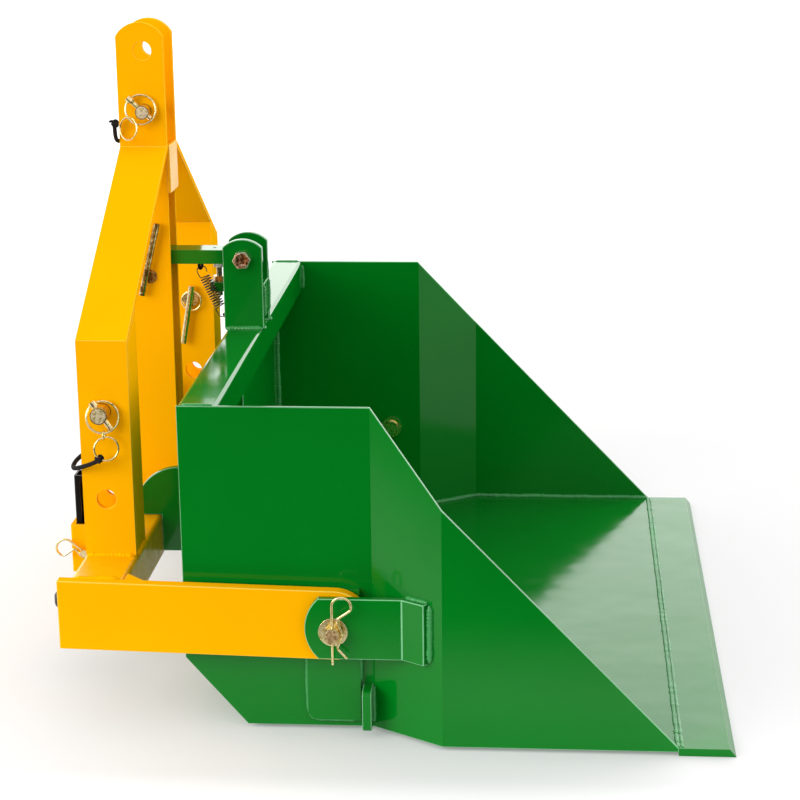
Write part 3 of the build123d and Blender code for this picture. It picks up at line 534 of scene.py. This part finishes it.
def make_knots():
    knot("knot_left", (-307.0, -380.5, 334.0), 1.25, 25)
    knot("knot_top", (-337.0, -51.0, 717.0), 1.15, 70)
    tail = [(-337, -51, 718), (-339.5, -52, 720), (-342.5, -53, 720.5), (-345, -53, 719.5)]
    tube_mesh("knot_top_tail", tail, 2.4, "black_cord", "frame", taper=lambda run: 1 - 0.35 * run)
    tail = [(-307, -381, 334), (-304.5, -384, 336), (-303, -386, 336.5)]
    tube_mesh("knot_left_tail", tail, 2.6, "black_cord", "frame")


# Latch spring, with the solid's sizes in millimetres
SPRING_TOP_SEAT = (-232.5, -10.5, 505.0)
SPRING_LOW_SEAT = (-200.0, -18.0, 440.0)
SPRING_WIRE = 0.75
SPRING_COIL = 7.5
SPRING_HOOK = 7.0
SPRING_LEAD = 1.5
SPRING_TURNS = 13
SPRING_TURN_STEPS = 20
HOOK_SWEEP = 215
HOOK_STEPS = 14
EYE_WIRE = 2.0
SEAT_GAP = 0.5


def make_spring():
    """Extension spring between the latch bar's eye and the ear's eye, as wound wire."""
    upper_seat = Vector(SPRING_TOP_SEAT)
    lower_seat = Vector(SPRING_LOW_SEAT)
    axis = (lower_seat - upper_seat).normalized()
    overlap = EYE_WIRE + SPRING_WIRE + SEAT_GAP
    upper_end = upper_seat - axis * overlap
    lower_end = lower_seat + axis * overlap
    side = Vector((0, 1, 0)).cross(axis).normalized()
    cross = axis.cross(side)
    upper_centre = upper_end + axis * SPRING_HOOK
    lower_centre = lower_end - axis * SPRING_HOOK
    coil_start = upper_centre + axis * (SPRING_HOOK + SPRING_LEAD)
    coil_end = lower_centre - axis * (SPRING_HOOK + SPRING_LEAD)
    coil_steps = SPRING_TURNS * SPRING_TURN_STEPS
    sweep = math.radians(HOOK_SWEEP)
    points = []
    for step in range(HOOK_STEPS + 1):
        angle = sweep * (1 - step / HOOK_STEPS)
        points.append(upper_centre + (side * math.cos(angle) - axis * math.sin(angle)) * SPRING_HOOK)
    for step in range(1, coil_steps):
        angle = 2 * math.pi * step / SPRING_TURN_STEPS
        middle = coil_start.lerp(coil_end, step / coil_steps)
        points.append(middle + (side * math.cos(angle) + cross * math.sin(angle)) * SPRING_COIL)
    for step in range(HOOK_STEPS + 1):
        angle = sweep * step / HOOK_STEPS
        points.append(lower_centre + (side * math.cos(angle) + axis * math.sin(angle)) * SPRING_HOOK)
    spring = tube_mesh("spring_wire", points, SPRING_WIRE, "spring_steel", "latch", sides=8)
    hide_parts("latch_spring")


TURNED_SIDES = 40


def turned(name, profile, centre, body, finish):
    """Plated round face turned about Y: the profile gives radius and place along Y, from the middle out."""
    mesh = bmesh.new()
    middle = mesh.verts.new((Vector(centre) + Vector((0, profile[0][1], 0))) * MM)
    rings = []
    for radius, place in profile[1:]:
        loop = []
        for side in range(TURNED_SIDES):
            angle = 2 * math.pi * side / TURNED_SIDES
            spot = Vector(centre) + Vector((radius * math.cos(angle), place, radius * math.sin(angle)))
            loop.append(mesh.verts.new(spot * MM))
        rings.append(loop)
    for side in range(TURNED_SIDES):
        mesh.faces.new((middle, rings[0][side], rings[0][(side + 1) % TURNED_SIDES]))
    for first, second in zip(rings, rings[1:]):
        for side in range(TURNED_SIDES):
            follow = (side + 1) % TURNED_SIDES
            mesh.faces.new((first[side], second[side], second[follow], first[follow]))
    add_mesh(name, mesh_data(name, mesh, False), "gold_zinc", body, finish)


def make_bolt_face():
    """Darkened face on the latch bolt's head, with a low rim and a dished middle."""
    profile = [(0, -0.3), (5.5, -0.35), (8.2, -0.7), (9.4, -0.8), (10.2, -0.35), (10.4, 0.2)]
    turned("bolt_face", profile, LATCH_BOLT_HEAD, "bucket", "copper_bloom")


def make_pin_faces():
    """Turned, slightly rounded ends of the hitch pins and the tipping pins."""
    lower_x, lower_end, lower_height = LOWER_PIN
    for side, word in SIDES:
        ends = [(0, side * 0.3), (6, side * 0.3), (9.4, side * 0.15), (10.4, side * -0.4)]
        centre = (lower_x, side * lower_end, lower_height)
        turned(f"lower_pin_face_{word}", ends, centre, "frame", "pin_face")
        ends = [(0, side * 0.3), (5.5, side * 0.3), (8.4, side * 0.15), (9.4, side * -0.4)]
        centre = (0, side * PIVOT_PIN_END, PIVOT_HEIGHT)
        turned(f"pivot_pin_face_{word}", ends, centre, "bucket", "brown_zinc")
    ends = [(0, -0.3), (5, -0.3), (8, -0.15), (8.9, 0.4)]
    turned("top_pin_face", ends, TOP_PIN, "frame", "pin_face")


make_knots()
make_spring()
make_bolt_face()
make_pin_faces()

# Weld beads: sizes in millimetres, rates of the noise per millimetre, and its shares of a size
BEAD_SIDES = 10
BEAD_STEP = 1.2
BEAD_END = 0.35
BEAD_ROUGH = 0.22
RIPPLE = 4.5
RIPPLE_WANDER = 0.6
RIPPLE_RATE = 0.05
SIZE_RATE = 0.12
MIDDLE_WANDER = 0.1
MIDDLE_RATE = 0.04
LUMP = 0.10
LUMP_RATE = 0.3
LUMP_SPACING = 1.7
PROUD = 0.5


def bead_stations(points):
    """Places along a route, each with its direction and the length travelled, and the whole length."""
    marks = [Vector(point) for point in points]
    stations = []
    travelled = 0.0
    for start, end in zip(marks, marks[1:]):
        length = (end - start).length
        steps = max(2, int(length / BEAD_STEP))
        along = (end - start).normalized()
        for step in range(steps):
            stations.append((start.lerp(end, step / steps), along, travelled + length * step / steps))
        travelled += length
    stations.append((marks[-1], (marks[-1] - marks[-2]).normalized(), travelled))
    return stations, travelled


def bead(name, body, slot, points, width, height, up=(0, 0, 1), seed=1, rough=BEAD_ROUGH):
    """Weld bead along a line: overlapping ripples, uneven width and a wandering middle."""
    drift = random.Random(seed).uniform(0, 100)
    lift = Vector(up).normalized()
    stations, total = bead_stations(points)
    mesh = bmesh.new()
    rings = []
    for point, along, run in stations:
        across = along.cross(lift).normalized()
        out = across.cross(along).normalized()
        phase = run / RIPPLE + RIPPLE_WANDER * noise.noise(Vector((run * RIPPLE_RATE, drift, 0)))
        ripple = abs(math.sin(math.pi * phase)) - 0.5
        scale = 1 + rough * ripple + rough * noise.noise(Vector((run * SIZE_RATE, drift, 4)))
        taper = min(1.0, BEAD_END + run / width, BEAD_END + (total - run) / width)
        wander = MIDDLE_WANDER * width * noise.noise(Vector((run * MIDDLE_RATE, drift, 9)))
        centre = point + across * wander
        loop = []
        for side in range(BEAD_SIDES):
            angle = 2 * math.pi * side / BEAD_SIDES
            lump = 1 + LUMP * noise.noise(Vector((run * LUMP_RATE, side * LUMP_SPACING, drift)))
            place = across * (0.5 * width * scale * taper * lump * math.cos(angle))
            place += out * (0.5 * height * scale * taper * lump * math.sin(angle))
            loop.append(mesh.verts.new((centre + place) * MM))
        rings.append(loop)
    skin(mesh, rings)
    add_mesh(name, mesh_data(name, mesh, True), slot, body, WELD_OF.get(slot))


def seam(name, body, slot, points, width, height, up=(0, 0, 1), seed=1, rough=BEAD_ROUGH):
    """The same bead on the left and on the right."""
    for side, word in SIDES:
        route = [(x, side * y, z) for x, y, z in points]
        facing = (up[0], side * up[1], up[2])
        bead(f"{name}_{word}", body, slot, route, width, height, facing, seed + side, rough)


def stitches(name, body, slot, start, end, pitch, length, width, height, up, seed):
    """Short beads at a steady pitch along a line."""
    first = Vector(start)
    last = Vector(end)
    total = (last - first).length
    along = (last - first).normalized()
    for index in range(int(total // pitch) + 1):
        begin = first + along * (index * pitch)
        route = [begin, begin + along * length]
        bead(f"{name}_{index}", body, slot, route, width, height, up, seed + index)


def across_bucket(x, half, z):
    """Route from the left to the right."""
    return [(x, -half, z), (x, half, z)]


def upright(x, y, low, high):
    return [(x, y, low), (x, y, high)]


def lengthwise(back, front, y, z):
    return [(back, y, z), (front, y, z)]


def weld_sheets():
    """The bucket's sheets, blade and top beam."""
    body, slot = "bucket", "green_paint"
    blade_half = HALF_MOUTH - 3
    bead("weld_blade", body, slot, across_bucket(MOUTH - 1, blade_half, SHEET), 5, 3, seed=3, rough=0.5)
    front = across_bucket(MOUTH + 4.5, blade_half, SHEET)
    bead("weld_blade_front", body, slot, front, 3.4, 2, seed=4, rough=0.6)
    inside = across_bucket(WALL_FRONT + PROUD, HALF_INSIDE - 1.5, BEAM_LOW - PROUD)
    bead("weld_beam_inside", body, slot, inside, 8, 7, seed=6)
    back = WALL_BACK - PROUD
    start = (back, -420, BEAM_LOW)
    stitches("weld_beam_back", body, slot, start, (back, 395, BEAM_LOW), 90, 40, 8, 5, (-1, 0, 0), 7)
    rear = HALF_INSIDE - 1
    front = HALF_MOUTH - SHEET - 1
    floor = SHEET + 1
    corner = [
        (WALL_FRONT + 1, rear, BEAM_LOW - 1),
        (WALL_FRONT + 1, rear, CHAMFER_TOP + 3),
        (CHAMFER_FOOT + 3, rear, floor),
        (FLARE_START + PROUD, rear, floor),
        (FLARE_END, front, floor),
        (MOUTH - 3, front, floor),
    ]
    seam("weld_side", body, slot, corner, 8, 8, (0, -1, 1), 10)
    end = upright(BEAM_FRONT + PROUD, HALF_INSIDE - PROUD, BEAM_LOW + 4, BUCKET_TOP - 6)
    seam("weld_beam_end", body, slot, end, 7, 7, (1, 0, 0), 20)
    top = lengthwise(WALL_BACK + 6, BEAM_FRONT - 5, HALF_INSIDE, BUCKET_TOP)
    seam("weld_beam_top", body, slot, top, 6, 4, (0, 0, 1), 21)


def weld_ears():
    """The latch ears and their brace on the top beam."""
    body, slot = "bucket", "green_paint"
    for face in (EAR_OUTSIDE, EAR_INSIDE):
        foot = lengthwise(WALL_BACK - 2, BEAM_FRONT + 2, face, BUCKET_TOP)
        seam(f"weld_ear_{face}", body, slot, foot, 9, 8, seed=22 + face)
    ear_front = BEAM_FRONT + 3
    toe = [(ear_front, EAR_INSIDE + 1, BUCKET_TOP + PROUD), (ear_front, EAR_OUTSIDE - 1, BUCKET_TOP + PROUD)]
    seam("weld_ear_front", body, slot, toe, 7, 7, (1, 0, 1), 30)
    brace = upright(ear_front, EAR_INSIDE, BRACE_LOW, BRACE_HIGH)
    seam("weld_brace", body, slot, brace, 5, 6, (1, 0, 0), 31)


def weld_pivots():
    """The doubling plates, lugs and straps at the tipping pins."""
    body, slot = "bucket", "green_paint"
    plate_y = HALF_REAR + 3.5
    plate = [
        (PLATE_BACK - PROUD, plate_y, PLATE_WELD_TOP),
        (PLATE_BACK - PROUD, plate_y, PLATE_LOW + 14),
        (PLATE_BACK + 4, plate_y, PLATE_LOW + 3),
        (PLATE_BACK + 14, plate_y, PLATE_LOW - PROUD),
        (PLATE_FRONT - 6.5, plate_y, PLATE_LOW - PROUD),
    ]
    seam("weld_plate", body, slot, plate, 6, 7, (0, 1, 0), 32)
    front = upright(PLATE_FRONT + PROUD, plate_y, LUG_HIGH + 4, PLATE_WELD_TOP)
    seam("weld_plate_front", body, slot, front, 6, 7, (0, 1, 0), 33)
    lug_y = HALF_REAR + 1.5
    back = upright(LUG_BACK - PROUD, lug_y, LUG_LOW + 2, LUG_HIGH - 2)
    seam("weld_lug", body, slot, back, 6, 6, (-1, 1, 0), 34)
    front = upright(FLARE_START + PROUD, lug_y, LUG_LOW + 2, LUG_HIGH - 2)
    seam("weld_lug_front", body, slot, front, 6, 6, (1, 1, 0), 35)
    end = upright(*STRAP_END, STRAP_LOW + 2, STRAP_HIGH - 2)
    seam("weld_strap", body, slot, end, 9, 9, (1, 1, 0), 36, 0.18)
    over = [(*STRAP_BEND, STRAP_HIGH + PROUD), (*STRAP_TOE, STRAP_HIGH + PROUD)]
    seam("weld_strap_top", body, slot, over, 7, 6, (0, 0, 1), 37, 0.35)
    under = [(*STRAP_BEND, STRAP_LOW - PROUD), (*STRAP_TOE, STRAP_LOW - PROUD)]
    seam("weld_strap_low", body, slot, under, 7, 6, (0, 0, -1), 38, 0.35)


def weld_back_wall():
    """The stop plates behind the back wall and the stiffener inside it."""
    body, slot = "bucket", "green_paint"
    for offset in (STOP_INSIDE - PROUD, STOP_OUTSIDE + PROUD):
        route = upright(WALL_BACK - 1, offset, STOP_LOW, STOP_HIGH)
        seam(f"weld_stop_{int(offset)}", body, slot, route, 6, 6, (-1, 0, 0), 40)
    rib_x = WALL_FRONT + PROUD
    for edge in (-RIB_EDGE, RIB_EDGE):
        low, high = upright(rib_x, edge, 110, 350)
        stitches(f"weld_rib_{edge + RIB_EDGE}", body, slot, low, high, 80, 32, 6, 5, (1, 0, 0), 50)


def weld_frame():
    """The arms, legs, post and sleeves on the cross beam, and the bends of the mast bars."""
    body, slot = "frame", "yellow_paint"
    arm_y = ARM_INSIDE - PROUD
    top = CROSS_TOP + PROUD
    back = CROSS_BACK - PROUD
    over = lengthwise(CROSS_BACK + 7, CROSS_FRONT - 7, arm_y, top)
    seam("weld_arm_top", body, slot, over, 8, 7, (0, 0, 1), 60)
    route = upright(CROSS_FRONT + PROUD, arm_y, CROSS_TOP - 55, CROSS_TOP - 5)
    seam("weld_arm_front", body, slot, route, 8, 7, (1, 0, 0), 61)
    route = upright(back, arm_y, CROSS_TOP - 55, CROSS_TOP - 5)
    seam("weld_arm_back", body, slot, route, 8, 7, (-1, 0, 0), 62)
    route = lengthwise(LEG_WELD_BACK, LEG_WELD_FRONT, LEG_OUTSIDE + PROUD, top)
    seam("weld_leg", body, slot, route, 8, 7, (0, 1, 1), 63)
    route = lengthwise(LEG_WELD_BACK, LEG_WELD_FRONT, LEG_INSIDE - PROUD, top)
    seam("weld_leg_inside", body, slot, route, 8, 7, (0, -1, 1), 64)
    route = [(LEG_WELD_FRONT + 2.5, LEG_OUTSIDE - 6, top), (LEG_WELD_FRONT + 2.5, LEG_INSIDE + 4, top)]
    seam("weld_leg_front", body, slot, route, 8, 7, (1, 0, 1), 65)
    route = lengthwise(LEG_WELD_BACK, LEG_WELD_FRONT, BEND_INSIDE - PROUD, BEND_HEIGHT)
    seam("weld_bend", body, slot, route, 7, 4, (0, -1, 0), 59)
    route = lengthwise(LEG_WELD_BACK + 2, LEG_WELD_FRONT - 2, POST_HALF + PROUD, top)
    seam("weld_post", body, slot, route, 8, 7, (0, 1, 1), 66)
    route = lengthwise(CROSS_BACK + 7, CROSS_FRONT - 7, POST_HALF - PROUD, POST_TOP + PROUD)
    seam("weld_post_top", body, slot, route, 7, 6, (0, -1, 1), 67)
    for offset in (SLEEVE_MIDDLE - SLEEVE_HALF - PROUD, SLEEVE_MIDDLE + SLEEVE_HALF + PROUD):
        route = upright(back, offset, 140, 195)
        seam(f"weld_sleeve_{int(offset)}", body, slot, route, 7, 7, (-1, 0, 0), 68)


def weld_feet():
    """The stands' legs on their round feet."""
    half = STAND_HALF + PROUD
    corners = [(-half, -half), (half, -half), (half, half), (-half, half), (-half, -half)]
    for side, word in SIDES:
        route = [(STAND_X + x, side * SLEEVE_MIDDLE + y, FOOT_TOP + PROUD) for x, y in corners]
        bead(f"weld_foot_{word}", f"stand_{word}", "black_paint", route, 6, 5, (0, 0, 1), 70)


weld_sheets()
weld_ears()
weld_pivots()
weld_back_wall()
weld_frame()
weld_feet()

# Floor, light and backdrop; a fade runs from none at its first value to full at its second
FLOOR_HALF = 60
FLOOR_HEIGHT = -0.0052
FLOOR_TONE = (0.62, 0.62, 0.62)
FLOOR_DARK = (0.02, 0.02, 0.02)
FLOOR_FADE = (-0.98, -0.66)
FAR_FADE = (0.8, 3.0)
RIM_FADE = (-0.57, -0.65)
FLOOR_GLOW = 0.20
# RIM_GLOW is extra floor glow in a band near the picture's bottom edge: painted light that fades the
# object's shadow there
RIM_GLOW = 0.16
FAR_GLOW = 0.5
BACK_FADE = (-0.3, 0.75)
LOW_FADE = (0.8, 0.35)
SKY_LIGHT = 0.95
WALL_LIGHT = 1.8
LIGHT_WHITE = (1, 1, 1, 1)
KEY_PLACE = (-2.6, -2.4, 1.6)
KEY_AIM = (0, 0, 0.35)
KEY_SIZE = (2.4, 2.0)
KEY_POWER = 78


def make_floor():
    """Pale floor, dark in front of the picture so that the near faces mirror no white."""
    mesh = bpy.data.meshes.new("floor")
    low, high = -FLOOR_HALF, FLOOR_HALF
    mesh.from_pydata([(low, low, 0), (high, low, 0), (high, high, 0), (low, high, 0)], [], [(0, 1, 2, 3)])
    floor = bpy.data.objects.new("floor", mesh)
    floor.location.z = FLOOR_HEIGHT
    bpy.context.scene.collection.objects.link(floor)
    material, nodes, links, shader = new_material("pale_floor")
    place = nodes.new("ShaderNodeSeparateXYZ")
    links.new(nodes.new("ShaderNodeTexCoord").outputs["Object"], place.inputs["Vector"])
    pale = smooth_node(nodes, links, place.outputs["Y"], *FLOOR_FADE)
    far = smooth_node(nodes, links, place.outputs["Y"], *FAR_FADE)
    rim = smooth_node(nodes, links, place.outputs["Y"], *RIM_FADE)
    tone = ramp_node(nodes, links, pale, [(0.0, FLOOR_DARK), (1.0, FLOOR_TONE)])
    links.new(tone, shader.inputs["Base Color"])
    shader.inputs["Roughness"].default_value = 0.7
    shader.inputs["Specular IOR Level"].default_value = 0.1
    shader.inputs["Emission Color"].default_value = LIGHT_WHITE
    # painted light: the rim band brightens the floor near the picture's bottom edge and fades the shadow
    # there
    glow = math_node(nodes, links, "MULTIPLY_ADD", rim, RIM_GLOW, FLOOR_GLOW)
    near = math_node(nodes, links, "MULTIPLY", pale, glow)
    strength = math_node(nodes, links, "MULTIPLY_ADD", far, FAR_GLOW, near)
    links.new(strength, shader.inputs["Emission Strength"])
    mesh.materials.append(material)


def make_world():
    """White surroundings, brighter low behind the object."""
    world = bpy.data.worlds.new("studio")
    bpy.context.scene.world = world
    world.use_nodes = True
    nodes = world.node_tree.nodes
    links = world.node_tree.links
    background = nodes["Background"]
    split = nodes.new("ShaderNodeSeparateXYZ")
    links.new(nodes.new("ShaderNodeTexCoord").outputs["Generated"], split.inputs["Vector"])
    back = smooth_node(nodes, links, split.outputs["Y"], *BACK_FADE)
    low = smooth_node(nodes, links, split.outputs["Z"], *LOW_FADE)
    wall = math_node(nodes, links, "MULTIPLY", back, low)
    strength = math_node(nodes, links, "MULTIPLY_ADD", wall, WALL_LIGHT, SKY_LIGHT)
    links.new(strength, background.inputs["Strength"])
    background.inputs["Color"].default_value = LIGHT_WHITE


def make_key_light():
    data = bpy.data.lights.new("key", "AREA")
    data.shape = "RECTANGLE"
    data.size, data.size_y = KEY_SIZE
    data.energy = KEY_POWER
    lamp = bpy.data.objects.new("key", data)
    lamp.location = KEY_PLACE
    lamp.rotation_euler = (Vector(KEY_AIM) - Vector(KEY_PLACE)).to_track_quat("-Z", "Y").to_euler()
    bpy.context.scene.collection.objects.link(lamp)


make_camera()
make_floor()
make_world()
make_key_light()
bpy.context.scene.view_settings.view_transform = "Standard"
